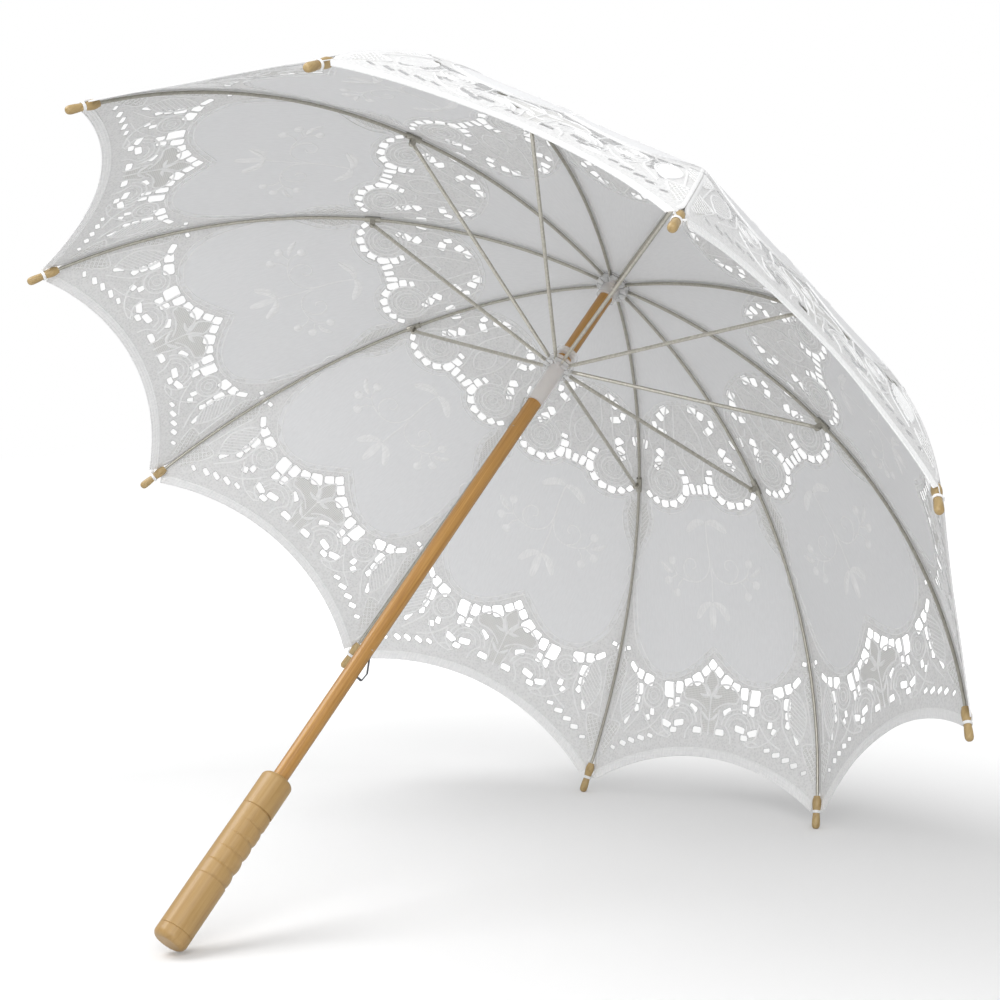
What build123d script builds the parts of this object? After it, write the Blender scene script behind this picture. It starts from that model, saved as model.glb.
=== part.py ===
from build123d import *
import os
from math import acos, asin, atan2, cos, degrees, hypot, pi, radians, sin, sqrt

# Lace parasol, open. Millimetres, +Z up, origin at the centre of the handle's lower end.
# The shaft stands on Z. Rib 1 lies over +X and the other nine follow every 36 degrees.

# ---- the whole ----
HINGE_Z = 600.0  # height of the crown hinges over the handle's lower end
TIP_R = 380.0  # axis to the outer end of a rib tip
RIB_COUNT = 10
STEP = 360.0 / RIB_COUNT
HALF_STEP = radians(STEP / 2)

# ---- ribs, each an arc of a circle in its own upright plane ----
RIB_CURVE_R = 400.0  # radius of the arc
RIB_CURVE_X = 22.0  # its centre's distance from the axis
RIB_WIRE_R = 1.2
HINGE_R = 10.0  # ring of crown hinges round the axis
PIVOT_R = 190.0  # where the stretcher bracket sits on the rib
BRACKET_DROP = 4.6  # from the rib's centre line down to the stretcher's pivot

# ---- flat ends of the wires ----
EYE_R = 2.0
EYE_T = 1.2
TONGUE_H = 2.6
TONGUE_LENGTH = 6.5
RING_WIRE_R = 0.6  # the wires that thread the crown's and the runner's eyes
RUNNING_GAP = 0.06  # radial clearance of an eye on its pin

# ---- stretcher brackets ----
BRACKET_SLEEVE_R = 2.1
BRACKET_LENGTH = 12.0
LUG_T = 1.0
LUG_GAP = 1.5
LUG_R = 2.0
RIVET_R = 0.9
RIVET_HEAD_R = 1.7
RIVET_HEAD_T = 0.6
CRIMP_GAP = 0.02  # between a bracket and the wire or rivet set in it

# ---- shaft ----
SHAFT_R = 5.4
SHAFT_BOTTOM = 60.0
SHAFT_ABOVE_HINGES = 30.0

# ---- crown ----
NOTCH_R = 12.5
NOTCH_TOP = 2.2  # above the hinges
NOTCH_BOTTOM = 4.0  # below the hinges
NOTCH_CORE_R = 7.6
SLOT_W = 1.6
GROOVE_H = 1.3
NOTCH_PIN_R = 0.8
NOTCH_HUB_H = 9.0
CAP_R = 15.0
CAP_H = 3.6
FERRULE_WALL = 2.8
FERRULE_R = SHAFT_R + FERRULE_WALL
FERRULE_LENGTH = 45.0
FERRULE_TIP_R = 3.6

# ---- runner ----
RUNNER_DROP = 88.0  # from the crown hinges down to the runner's ring, parasol open
RUNNER_RING_R = 9.0
RUNNER_HEAD_R = 11.0
RUNNER_HEAD_UP = 3.0
RUNNER_HEAD_DOWN = 4.0
SLEEVE_R = 6.8
SLEEVE_BELOW = 38.0  # from the ring down to the sleeve's lower edge
SLIDE_GAP = 0.08
STRETCHER_WIRE_R = 1.4
STOP_GAP = 6.0  # from the runner's top to the stop ring
STOP_R = 9.2
STOP_H = 5.0

# ---- catches ----
CATCH_SIDE = 8.5 * STEP  # between two ribs
CATCH_W = 2.0
CATCH_SLOT_W = 2.4
CATCH_SLOT_FLOOR = -0.6
CATCH_PIN_X = 3.2
CATCH_PIN_R = 0.6
CATCH_EYE_R = 1.5
TOP_CATCH_LENGTH = 28.0
TOP_NOSE_OUT = 3.2
TOP_NOSE_GAP = 0.3
BOTTOM_CATCH_LENGTH = 21.5
BOTTOM_NOSE_OUT = 4.4
STRIP_T = 0.9
CATCH_BEND_R = 0.9
WINDOW_ABOVE = 3.5  # from the sleeve's lower edge to the window
WINDOW_H = 22.0
WINDOW_W = 3.4
CLOSED_TIP_R = 13.0  # axis to the end of a rib tip, parasol closed

# ---- handle ----
HANDLE_LENGTH = 128.0
HANDLE_TOP_R = 11.1
HANDLE_GRIP_R = 11.6
HANDLE_END_ROUND = 4.0
HANDLE_TOP_ROUND = 3.5
END_LINE_Z = 9.0
END_LINE_DEPTH = 0.35
GRIP_TOP_Z = 47.0  # the plain grip ends and the finger grooves start
GROOVES_TOP_Z = 101.8
BEADS = 5
BEAD_CREST_R = 12.1
BEAD_CUSP_R = 10.9
BEAD_SHIFT = 0.6  # the beads stand off the axis, so their cusps cut deep on one side only

# ---- rib tips ----
TIP_LENGTH = 25.0
TIP_MOUTH_R = 2.6
TIP_BELLY_R = 3.5  # widest, near the mouth
TIP_WAIST_R = 2.7  # the groove that takes the canopy's thread
TIP_END_R = 3.1
TIP_BORE_DEPTH = 14.0
TIP_BORE_GAP = 0.1

# ---- canopy ----
CLOTH_T = 0.6
CLOTH_GAP = 2.5  # from the rib's centre line out to the cloth
CROWN_HOLE_R = 9.0
CLOTH_BEFORE_TIP = 12.0  # from a tip's outer end back to the cloth's corner
HEM_R = 357.0  # rib distance whose height the middle of a hem reaches
SEAM_GAP = 0.3
NEIGHBOUR_GAP = 0.3


# ---- the rib's arc and the linkage ----
CURVE_Z = HINGE_Z - sqrt(RIB_CURVE_R**2 - (RIB_CURVE_X - HINGE_R) ** 2)
HINGE_ANGLE = asin((HINGE_R - RIB_CURVE_X) / RIB_CURVE_R)
PIVOT_ANGLE = asin((PIVOT_R - RIB_CURVE_X) / RIB_CURVE_R)
TIP_ANGLE = asin((TIP_R - RIB_CURVE_X) / RIB_CURVE_R)
MOUTH_ANGLE = TIP_ANGLE - TIP_LENGTH / RIB_CURVE_R


def on_arc(angle, offset=0.0):
    """Point of the rib's plane on its arc, angle measured from straight up."""
    radius = RIB_CURVE_R + offset
    return (RIB_CURVE_X + radius * sin(angle), CURVE_Z + radius * cos(angle))


PIVOT_X, PIVOT_Z = on_arc(PIVOT_ANGLE, -BRACKET_DROP)
RING_Z = HINGE_Z - RUNNER_DROP
RIB_ARM = hypot(PIVOT_X - HINGE_R, HINGE_Z - PIVOT_Z)
STRETCHER_LENGTH = hypot(PIVOT_X - RUNNER_RING_R, PIVOT_Z - RING_Z)
TIP_X, TIP_Z = on_arc(TIP_ANGLE)
TIP_ARM = hypot(TIP_X - HINGE_R, HINGE_Z - TIP_Z)
FOLD = acos((CLOSED_TIP_R - HINGE_R) / TIP_ARM) - atan2(HINGE_Z - TIP_Z, TIP_X - HINGE_R)
CLOSED_RIB = FOLD + atan2(HINGE_Z - PIVOT_Z, PIVOT_X - HINGE_R)
CLOSED_PIVOT_X = HINGE_R + RIB_ARM * cos(CLOSED_RIB)
CLOSED_STRETCHER = acos((CLOSED_PIVOT_X - RUNNER_RING_R) / STRETCHER_LENGTH)
CLOSED_RING_Z = HINGE_Z - RIB_ARM * sin(CLOSED_RIB) - STRETCHER_LENGTH * sin(CLOSED_STRETCHER)
TRAVEL = RING_Z - CLOSED_RING_Z
SLEEVE_BOTTOM = RING_Z - SLEEVE_BELOW
TOP_NOSE_Z = SLEEVE_BOTTOM - TOP_NOSE_GAP
TOP_PIN_Z = TOP_NOSE_Z - TOP_CATCH_LENGTH
CATCH_PIN_LENGTH = 2 * sqrt(SHAFT_R**2 - (CATCH_PIN_X + CATCH_PIN_R) ** 2)
BOTTOM_HOOK_Z = SLEEVE_BOTTOM - TRAVEL + WINDOW_ABOVE + TOP_NOSE_GAP
BOTTOM_PIN_Z = BOTTOM_HOOK_Z + BOTTOM_CATCH_LENGTH
CLOTH_TOP = CURVE_Z + RIB_CURVE_R + CLOTH_GAP + CLOTH_T


def around(shape, number):
    """The copy of a shape made over +X that belongs to rib number 1 to 10."""
    return Rot(0, 0, STEP * (number - 1)) * shape


def tube(outer, inner, bottom, top):
    """Upright tube round the axis."""
    ring = Circle(outer) - Circle(inner)
    return Pos(0, 0, bottom) * extrude(ring, top - bottom)


def rod(radius, bottom, top):
    """Upright rod round the axis."""
    return Pos(0, 0, bottom) * extrude(Circle(radius), top - bottom)


def turned(points):
    """Solid of revolution from straight-lined (radius, height) points."""
    return revolve(make_face(Plane.XZ * Polyline(*points, close=True)), Axis.Z)


def cross_pin(x, z, radius, length):
    """Round pin that lies across the rib's plane at (x, z)."""
    return Pos(x, 0, z) * Rot(90, 0, 0) * Cylinder(radius, length)


def wire_ring(ring_radius, z):
    return Pos(0, 0, z) * Torus(ring_radius, RING_WIRE_R)


def slots(inner, outer, bottom, top):
    """Ten upright slots for the wires' eyes."""
    length = outer - inner
    slot = Pos(inner + length / 2, 0, (bottom + top) / 2) * Box(length, SLOT_W, top - bottom)
    return [around(slot, number + 1) for number in range(RIB_COUNT)]


# ---- shaft group ----
def shaft():
    """Wooden rod with a slot for each catch, bored across for the pins."""
    body = rod(SHAFT_R, SHAFT_BOTTOM, HINGE_Z + SHAFT_ABOVE_HINGES)
    depth = SHAFT_R + 1 - CATCH_SLOT_FLOOR
    middle = (SHAFT_R + 1 + CATCH_SLOT_FLOOR) / 2
    spans = (
        (CATCH_SIDE, TOP_PIN_Z - 3, TOP_NOSE_Z + 2),
        (CATCH_SIDE + 180, BOTTOM_HOOK_Z - 3, BOTTOM_PIN_Z + 3),
    )
    for side, bottom, top in spans:
        slot = Pos(middle, 0, (bottom + top) / 2) * Box(depth, CATCH_SLOT_W, top - bottom)
        body -= Rot(0, 0, side) * slot
    body -= catch_pins(SHAFT_R * 2)
    return body - notch_pin()


def notch_pin():
    length = 2 * (NOTCH_CORE_R + 0.6)
    height = HINGE_Z - NOTCH_BOTTOM - NOTCH_HUB_H / 2
    return Rot(0, 0, CATCH_SIDE) * cross_pin(0, height, NOTCH_PIN_R, length)


def catch_pins(length):
    """The two anchor pins, across the shaft."""
    top = Rot(0, 0, CATCH_SIDE) * cross_pin(CATCH_PIN_X, TOP_PIN_Z, CATCH_PIN_R, length)
    low = Rot(0, 0, CATCH_SIDE + 180) * cross_pin(CATCH_PIN_X, BOTTOM_PIN_Z, CATCH_PIN_R, length)
    return Compound(children=[top, low])


def beads():
    """Stack of rounded beads over the finger zone."""
    top = GROOVES_TOP_Z - END_LINE_DEPTH
    pitch = (top - GRIP_TOP_Z) / BEADS
    stack = []
    for number in range(BEADS):
        low = GRIP_TOP_Z + pitch * number
        high = low + pitch
        outline = Line((0, low), (BEAD_CUSP_R, low))
        outline += ThreePointArc((BEAD_CUSP_R, low), (BEAD_CREST_R, low + pitch / 2), (BEAD_CUSP_R, high))
        outline += Polyline((BEAD_CUSP_R, high), (0, high), (0, low))
        stack.append(revolve(Plane.XZ * make_face(outline), Axis.Z))
    return Part() + stack


def handle():
    """Turned grip with five beads, their cusps deepest on the lower catch's side."""
    end_line = (
        (HANDLE_GRIP_R, END_LINE_Z - END_LINE_DEPTH),
        (HANDLE_GRIP_R - END_LINE_DEPTH, END_LINE_Z),
        (HANDLE_GRIP_R, END_LINE_Z + END_LINE_DEPTH),
    )
    top_line = (
        (HANDLE_TOP_R, GROOVES_TOP_Z - END_LINE_DEPTH),
        (HANDLE_TOP_R - END_LINE_DEPTH, GROOVES_TOP_Z),
        (HANDLE_TOP_R, GROOVES_TOP_Z + END_LINE_DEPTH),
    )
    body = turned([(0, 0), (HANDLE_GRIP_R, 0), *end_line, (HANDLE_GRIP_R, GRIP_TOP_Z), *top_line,
                   (HANDLE_TOP_R, HANDLE_LENGTH), (0, HANDLE_LENGTH)])
    rims = body.edges().filter_by(GeomType.CIRCLE).sort_by(Axis.Z)
    body = fillet(rims[0], HANDLE_END_ROUND)
    rims = body.edges().filter_by(GeomType.CIRCLE).sort_by(Axis.Z)
    body = fillet(rims[-1], HANDLE_TOP_ROUND)
    around_grip = rod(HANDLE_GRIP_R + 1, 0, GRIP_TOP_Z)
    around_top = rod(HANDLE_GRIP_R + 1, GROOVES_TOP_Z - END_LINE_DEPTH, HANDLE_LENGTH)
    carved = Rot(0, 0, CATCH_SIDE + 180) * Pos(-BEAD_SHIFT, 0, 0) * beads()
    body &= around_grip + carved + around_top
    return body - rod(SHAFT_R, SHAFT_BOTTOM, HANDLE_LENGTH)


def crown_notch():
    """Slotted ring whose teeth part the ribs, with a hub pinned to the shaft."""
    bottom = HINGE_Z - NOTCH_BOTTOM
    top = HINGE_Z + NOTCH_TOP
    body = tube(NOTCH_R, SHAFT_R, bottom, top)
    body += tube(NOTCH_CORE_R, SHAFT_R, bottom - NOTCH_HUB_H, bottom)
    body -= tube(NOTCH_R + 1, HINGE_R - RING_WIRE_R, HINGE_Z - GROOVE_H / 2, HINGE_Z + GROOVE_H / 2)
    body -= slots(NOTCH_CORE_R, NOTCH_R + 1, bottom - 1, top + 1)
    return body - notch_pin()


def crown_cap():
    """Domed washer that holds the cloth down round the shaft."""
    bottom = CLOTH_TOP + NEIGHBOUR_GAP
    body = tube(CAP_R, SHAFT_R, bottom, bottom + CAP_H)
    rims = body.edges().filter_by(GeomType.CIRCLE).group_by(Axis.Z)[-1].sort_by(SortBy.RADIUS)
    return fillet(rims[-1], CAP_H - 0.4)


def ferrule():
    """Turned wooden spike on the shaft's upper end."""
    base = CLOTH_TOP + NEIGHBOUR_GAP + CAP_H
    top = base + FERRULE_LENGTH
    bead = 5.0
    outline = [
        (0, base),
        (FERRULE_R, base),
        (FERRULE_R, base + bead),
        (FERRULE_R - 1.4, base + bead + 1.6),
        (FERRULE_R - 0.6, base + bead + 6),
        (FERRULE_TIP_R, top),
        (0, top),
    ]
    body = turned(outline)
    rims = body.edges().filter_by(GeomType.CIRCLE).sort_by(Axis.Z)
    body = fillet(rims[-1], FERRULE_TIP_R - 0.6)
    rims = body.edges().filter_by(GeomType.CIRCLE).sort_by(Axis.Z)
    body = fillet(rims[1], 1.2)
    return body - rod(SHAFT_R, base, HINGE_Z + SHAFT_ABOVE_HINGES)


def stop_ring():
    """Ring that ends the runner's way up."""
    bottom = RING_Z + RUNNER_HEAD_UP + STOP_GAP
    body = tube(STOP_R, SHAFT_R, bottom, bottom + STOP_H)
    rims = body.edges().filter_by(GeomType.CIRCLE).sort_by(SortBy.RADIUS)[-2:]
    return fillet(rims, 1.2)


# ---- catches ----
def catch_strip(points, pin_z, side):
    """Bent flat spring with an eye for its anchor pin, turned to its side of the shaft."""
    path = FilletPolyline(*points, radius=CATCH_BEND_R)
    start = path @ 0
    section = Plane(origin=start, x_dir=(0, 1, 0), z_dir=path % 0) * Rectangle(CATCH_W, STRIP_T)
    body = sweep(section, path=path)
    body += cross_pin(CATCH_PIN_X, pin_z, CATCH_EYE_R, CATCH_W)
    body -= cross_pin(CATCH_PIN_X, pin_z, CATCH_PIN_R + RUNNING_GAP, CATCH_W + 1)
    return Rot(0, 0, side) * body


def top_catch():
    """Spring whose nose carries the open runner."""
    nose = SHAFT_R + TOP_NOSE_OUT - STRIP_T / 2
    nose_z = TOP_NOSE_Z - STRIP_T / 2
    points = [
        (CATCH_PIN_X, 0, TOP_PIN_Z + CATCH_EYE_R - 0.3),
        (SHAFT_R - 1.2, 0, TOP_NOSE_Z - 16),
        (nose, 0, nose_z),
        (SHAFT_R - 2.2, 0, nose_z),
    ]
    return catch_strip(points, TOP_PIN_Z, CATCH_SIDE)


def bottom_catch():
    """Spring whose hook stands in the runner's window when the parasol is closed."""
    nose = SHAFT_R + BOTTOM_NOSE_OUT - STRIP_T / 2
    hook_z = BOTTOM_HOOK_Z + STRIP_T / 2
    points = [
        (CATCH_PIN_X, 0, BOTTOM_PIN_Z - CATCH_EYE_R + 0.3),
        (SHAFT_R + 0.2, 0, BOTTOM_PIN_Z - 6),
        (nose, 0, hook_z + 6.5),
        (nose - 0.6, 0, hook_z),
        (SHAFT_R - 1.2, 0, hook_z + 0.6),
    ]
    return catch_strip(points, BOTTOM_PIN_Z, CATCH_SIDE + 180)


# ---- runner ----
def runner():
    """Sliding sleeve with a slotted head for the stretchers and a window for the lower catch."""
    bore = SHAFT_R + SLIDE_GAP
    bottom = RING_Z - RUNNER_HEAD_DOWN
    top = RING_Z + RUNNER_HEAD_UP
    body = tube(SLEEVE_R, bore, SLEEVE_BOTTOM, top)
    body += tube(RUNNER_HEAD_R, bore, bottom, top)
    groove_bottom = RING_Z - GROOVE_H / 2
    body -= tube(RUNNER_HEAD_R + 1, RUNNER_RING_R - RING_WIRE_R, groove_bottom, groove_bottom + GROOVE_H)
    body -= slots(SLEEVE_R, RUNNER_HEAD_R + 1, bottom - 1, top + 1)
    window = Pos(SLEEVE_R, 0, SLEEVE_BOTTOM + WINDOW_ABOVE + WINDOW_H / 2) * Box(
        2 * (SLEEVE_R - SHAFT_R) + 2, WINDOW_W, WINDOW_H
    )
    return body - Rot(0, 0, CATCH_SIDE + 180) * window


# ---- ribs and stretchers, all made over +X ----
def wire_arc(start_angle, end_angle, radius, offset=0.0):
    """Round wire along the rib's arc."""
    ends = [on_arc(angle, offset) for angle in (start_angle, (start_angle + end_angle) / 2, end_angle)]
    path = ThreePointArc(*[(x, 0, z) for x, z in ends])
    return sweep(Plane(origin=path @ 0, z_dir=path % 0) * Circle(radius), path=path)


def eye(x, z):
    return cross_pin(x, z, EYE_R, EYE_T)


def eye_bore(x, z, pin_radius):
    return cross_pin(x, z, pin_radius + RUNNING_GAP, EYE_T + 1)


def tongue(x, z, slope, length):
    """Flattened run of wire that leaves (x, z) at a slope in radians."""
    plate = Pos(length / 2, 0, 0) * Box(length, EYE_T, TONGUE_H)
    return Pos(x, 0, z) * Rot(0, -degrees(slope), 0) * plate


def rib_rod():
    """Rib wire with its flattened crown eye."""
    start = HINGE_ANGLE + (TONGUE_LENGTH - 1) / RIB_CURVE_R
    end = MOUTH_ANGLE + (TIP_BORE_DEPTH - 1) / RIB_CURVE_R
    body = wire_arc(start, end, RIB_WIRE_R)
    body += eye(HINGE_R, HINGE_Z)
    body += tongue(HINGE_R, HINGE_Z, -HINGE_ANGLE, TONGUE_LENGTH)
    return body - eye_bore(HINGE_R, HINGE_Z, RING_WIRE_R)


def bracket():
    """Sleeve crimped on the rib with two lugs for the stretcher."""
    half = BRACKET_LENGTH / 2 / RIB_CURVE_R
    body = wire_arc(PIVOT_ANGLE - half, PIVOT_ANGLE + half, BRACKET_SLEEVE_R)
    x, z = on_arc(PIVOT_ANGLE)
    width = LUG_GAP + 2 * LUG_T
    cheeks = Pos(0, 0, -BRACKET_DROP / 2) * Box(2 * LUG_R, width, BRACKET_DROP)
    cheeks += Pos(0, 0, -BRACKET_DROP) * Rot(90, 0, 0) * Cylinder(LUG_R, width)
    room = EYE_R + 0.3
    cheeks -= Pos(0, 0, -BRACKET_DROP - room / 2) * Box(4 * LUG_R, LUG_GAP, 3 * room)
    body += Pos(x, 0, z) * Rot(0, degrees(PIVOT_ANGLE), 0) * cheeks
    body -= wire_arc(PIVOT_ANGLE - 2 * half, PIVOT_ANGLE + 2 * half, RIB_WIRE_R + CRIMP_GAP)
    return body - cross_pin(PIVOT_X, PIVOT_Z, RIVET_R + CRIMP_GAP, width + 1)


def rivet():
    width = LUG_GAP + 2 * (LUG_T + CRIMP_GAP)
    body = cross_pin(PIVOT_X, PIVOT_Z, RIVET_R, width)
    for side in (-1, 1):
        head = Pos(0, side * (width + RIVET_HEAD_T) / 2, 0)
        body += head * cross_pin(PIVOT_X, PIVOT_Z, RIVET_HEAD_R, RIVET_HEAD_T)
    return body


def rib():
    return Compound(children=[rib_rod(), bracket(), rivet()])


def stretcher():
    """Straight wire with a flattened eye at the rib's bracket and one at the runner."""
    slope = atan2(PIVOT_Z - RING_Z, PIVOT_X - RUNNER_RING_R)
    length = STRETCHER_LENGTH - 2 * (TONGUE_LENGTH - 1)
    start_x = RUNNER_RING_R + (TONGUE_LENGTH - 1) * cos(slope)
    start_z = RING_Z + (TONGUE_LENGTH - 1) * sin(slope)
    along = Plane(origin=(start_x, 0, start_z), z_dir=(cos(slope), 0, sin(slope)))
    body = extrude(along * Circle(STRETCHER_WIRE_R), length)
    body += tongue(RUNNER_RING_R, RING_Z, slope, TONGUE_LENGTH)
    body += tongue(PIVOT_X, PIVOT_Z, slope + pi, TONGUE_LENGTH)
    body += eye(RUNNER_RING_R, RING_Z)
    body += eye(PIVOT_X, PIVOT_Z)
    body -= eye_bore(RUNNER_RING_R, RING_Z, RING_WIRE_R)
    return body - eye_bore(PIVOT_X, PIVOT_Z, RIVET_R)


def tip_frame():
    """Plane at a tip's mouth, its normal running out along the rib."""
    x, z = on_arc(MOUTH_ANGLE)
    heading = MOUTH_ANGLE + TIP_BORE_DEPTH / 2 / RIB_CURVE_R
    return Plane(origin=(x, 0, z), x_dir=(0, 1, 0), z_dir=(cos(heading), 0, -sin(heading)))


def rib_tip():
    """Turned wooden tip with a waist, bored for the rib's end."""
    outline = Polyline((0, 0), (TIP_MOUTH_R, 0), (TIP_MOUTH_R, 0.8))
    outline += Spline(
        (TIP_MOUTH_R, 0.8),
        (TIP_BELLY_R, TIP_LENGTH * 0.22),
        (TIP_WAIST_R, TIP_LENGTH * 0.48),
        (TIP_END_R, TIP_LENGTH * 0.84),
        tangents=((1.0, 2.0), (0.0, 1.0)),
    )
    outline += Spline(
        (TIP_END_R, TIP_LENGTH * 0.84),
        (0, TIP_LENGTH),
        tangents=((0.0, 1.0), (-1.0, 0.0)),
    )
    outline += Line((0, TIP_LENGTH), (0, 0))
    body = revolve(Plane.XZ * make_face(outline), Axis.Z)
    body -= rod(RIB_WIRE_R + TIP_BORE_GAP, 0, TIP_BORE_DEPTH)
    return tip_frame().location * body


# ---- canopy ----
def gore():
    """Cloth between ribs 1 and 2, ruled straight from one rib's arc to the other's."""
    inner = RIB_CURVE_R + CLOTH_GAP
    outer = inner + CLOTH_T
    squeeze = cos(HALF_STEP)
    band = Ellipse(outer * squeeze, outer) - Ellipse(inner * squeeze, inner)
    band = Plane.XZ * Pos(RIB_CURVE_X * squeeze, CURVE_Z) * band
    body = extrude(band, TIP_R * sin(HALF_STEP), both=True)
    corner_r = on_arc(TIP_ANGLE - CLOTH_BEFORE_TIP / RIB_CURVE_R)[0]

    def beside(radius, side):
        along = radius * cos(HALF_STEP)
        across = side * radius * sin(HALF_STEP)
        return (along + SEAM_GAP / 2 * sin(HALF_STEP), across - side * SEAM_GAP / 2 * cos(HALF_STEP))

    outline = Line(beside(CROWN_HOLE_R, 1), beside(corner_r, 1))
    outline += ThreePointArc(beside(corner_r, 1), (HEM_R * squeeze, 0), beside(corner_r, -1))
    outline += Line(beside(corner_r, -1), beside(CROWN_HOLE_R, -1))
    outline += ThreePointArc(beside(CROWN_HOLE_R, -1), (CROWN_HOLE_R, 0), beside(CROWN_HOLE_R, 1))
    plan = Pos(0, 0, TIP_Z) * extrude(make_face(outline), HINGE_Z - TIP_Z + CLOTH_GAP * 4)
    body = Rot(0, 0, STEP / 2) * (body & plan)
    room = rod(TIP_BELLY_R + NEIGHBOUR_GAP, -NEIGHBOUR_GAP, TIP_LENGTH)
    for number in (1, 2):
        body -= around(tip_frame().location * room, number)
    return body


def save(shape, name):
    export_step(shape, "parts/" + name + ".step")


os.makedirs("parts", exist_ok=True)
save(shaft(), "shaft")
save(handle(), "handle")
save(ferrule(), "ferrule")
save(crown_cap(), "crown_cap")
save(crown_notch(), "crown_notch")
save(wire_ring(HINGE_R, HINGE_Z), "notch_wire")
save(notch_pin(), "notch_pin")
save(stop_ring(), "stop_ring")
save(catch_pins(CATCH_PIN_LENGTH), "catch_pins")
save(top_catch(), "top_catch")
save(bottom_catch(), "bottom_catch")
save(runner(), "runner")
save(wire_ring(RUNNER_RING_R, RING_Z), "runner_wire")
moving = {"rib": rib(), "stretcher": stretcher(), "rib_tip": rib_tip(), "canopy_gore": gore()}
for name, shape in moving.items():
    for number in range(1, RIB_COUNT + 1):
        save(around(shape, number), f"{name}_{number:02d}")
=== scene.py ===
"""A white lace parasol lying open on its rim and handle: the looks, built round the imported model.

The ten cloth panels are drawn flat, in millimetres, then bent over the ribs' curve.
A flat point is (along, across): along the panel from the top of the rib's curve towards the hem,
and across it from the middle of the panel. Everything in Blender itself is in metres.
"""

import math
import random

import bmesh
import bpy
from mathutils import Matrix, Vector
from mathutils.geometry import delaunay_2d_cdt


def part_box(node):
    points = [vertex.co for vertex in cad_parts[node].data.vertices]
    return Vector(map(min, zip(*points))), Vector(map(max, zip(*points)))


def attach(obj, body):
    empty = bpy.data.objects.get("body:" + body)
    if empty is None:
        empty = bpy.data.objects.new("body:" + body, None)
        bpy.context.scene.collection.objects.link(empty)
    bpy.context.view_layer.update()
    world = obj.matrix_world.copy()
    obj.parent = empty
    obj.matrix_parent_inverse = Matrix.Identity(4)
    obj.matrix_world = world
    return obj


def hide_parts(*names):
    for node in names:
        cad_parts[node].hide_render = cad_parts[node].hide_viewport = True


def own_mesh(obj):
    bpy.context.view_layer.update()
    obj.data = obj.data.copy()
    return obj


MM = 0.001

# The canopy's curve, as in the CAD model
PANEL_COUNT = 10
HALF_STEP = math.pi / PANEL_COUNT
CURVE_OUT = 22.0
CLOTH_R = 402.8
RIB_R = 400.0
CAD_CLOTH_HALF = 0.3
CROWN_HOLE_R = 9.0
HEM_FROM_AXIS = 339.5
HEM_CURVE_R = 407.5
TIP_STARTS = 420.9
TIP_TAPER = 4.0
TIP_CLEARANCE = 2.5
SEAM_GAP = 0.12

# The cloth and the thread on it
CLOTH_HALF = 0.175
GRID_STEP = 5.0
CURVE_STEP = 2.6
THREAD_RISE = 0.42
WRINKLE_RISE = 0.55
HEM_TAPE = 7.5
SIDE_BAND = 3.0
SHARP_ANGLE = math.radians(50)
EDGE_CLEARANCE = 1.6
HOLE_CLEARANCE = 0.8
BERRY_STEPS = 10
HALVINGS = 40
RIM_WIDTH = 0.9
RIM_RISE = 0.32
HOLE_GROWTH = 1.12
HOLE_UNEVEN = 0.13
HOLE_BEVEL = 0.14

# The wooden tip in its rib's own plane, as in the CAD model: (out from the axis, up)
TIP_MOUTH = (368.2, 400.6)
TIP_HEADING = (0.486, -0.874)
TIP_WAIST_ALONG = 12.0
TIP_WAIST_R = 2.7
BINDING_THREAD_R = 0.42
BINDING_TURNS = 3
BINDING_PITCH = 1.7 * BINDING_THREAD_R
RING_STEPS = 22
THREAD_STEPS = 8
WING_HALF = 0.3

# Light
ROOM_LIGHT = 0.56
FLOOR_WHITE = 0.72
FLOOR_GLOW_NEAR = 0.1
FLOOR_GLOW_FAR = 0.6
GLOW_FROM = 0.6
GLOW_TO = 1.5
KEY_DISTANCE = 2.6
KEY_SIZE = 1.8
KEY_POWER = 47.0
FILL_DISTANCE = 3.2
FILL_SIZE = 3.0
FILL_POWER = 66.0
LIT_POINT = (0.1, 0.0, 0.35)

# Cloth and mesh pitches, in metres
LINEN_PITCH = 0.0011
MESH_PITCH = 0.0015
WAVE_SCALE = 0.32

# The camera and the floor that the rim and the handle rest on
CAMERA_AT = (1.0604, 0.7335, -0.3302)
CAMERA_LOOKS = (-0.7249, -0.4861, 0.4882)
CAMERA_UP = (0.6466, -0.2355, 0.7256)
CAMERA_LENS = 75.1
FLOOR_NORMAL = (0.6985, -0.227, 0.6786)
FLOOR_OFFSET = -0.0085
FLOOR_SIDE = 14.0

# Holes in the lace: (across, along, width across, height along, turn in degrees)
RING_HOLES = (
    (13.5, 106.0, 7.0, 7.5, 20),
    (19.5, 113.0, 6.0, 7.0, 30),
    (28.0, 120.5, 4.0, 6.0, 0),
    (23.0, 127.0, 8.0, 6.0, -30),
    (44.0, 138.5, 4.5, 8.0, -20),
    (30.5, 146.0, 6.0, 7.0, 30),
    (34.5, 153.5, 7.0, 6.0, 40),
    (38.5, 159.5, 3.5, 4.5, 40),
    (14.0, 163.5, 5.0, 3.5, 0),
    (12.5, 170.5, 7.0, 6.0, 5),
    (6.6, 178.5, 4.6, 8.5, 8),
    (14.0, 180.0, 6.5, 9.0, 0),
    (20.4, 187.0, 6.5, 7.0, -35),
    (28.8, 191.5, 7.0, 6.0, -15),
    (37.6, 192.3, 6.5, 6.0, 0),
    (45.7, 189.3, 5.5, 6.0, 20),
    (52.0, 184.0, 4.0, 5.5, 30),
)
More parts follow.
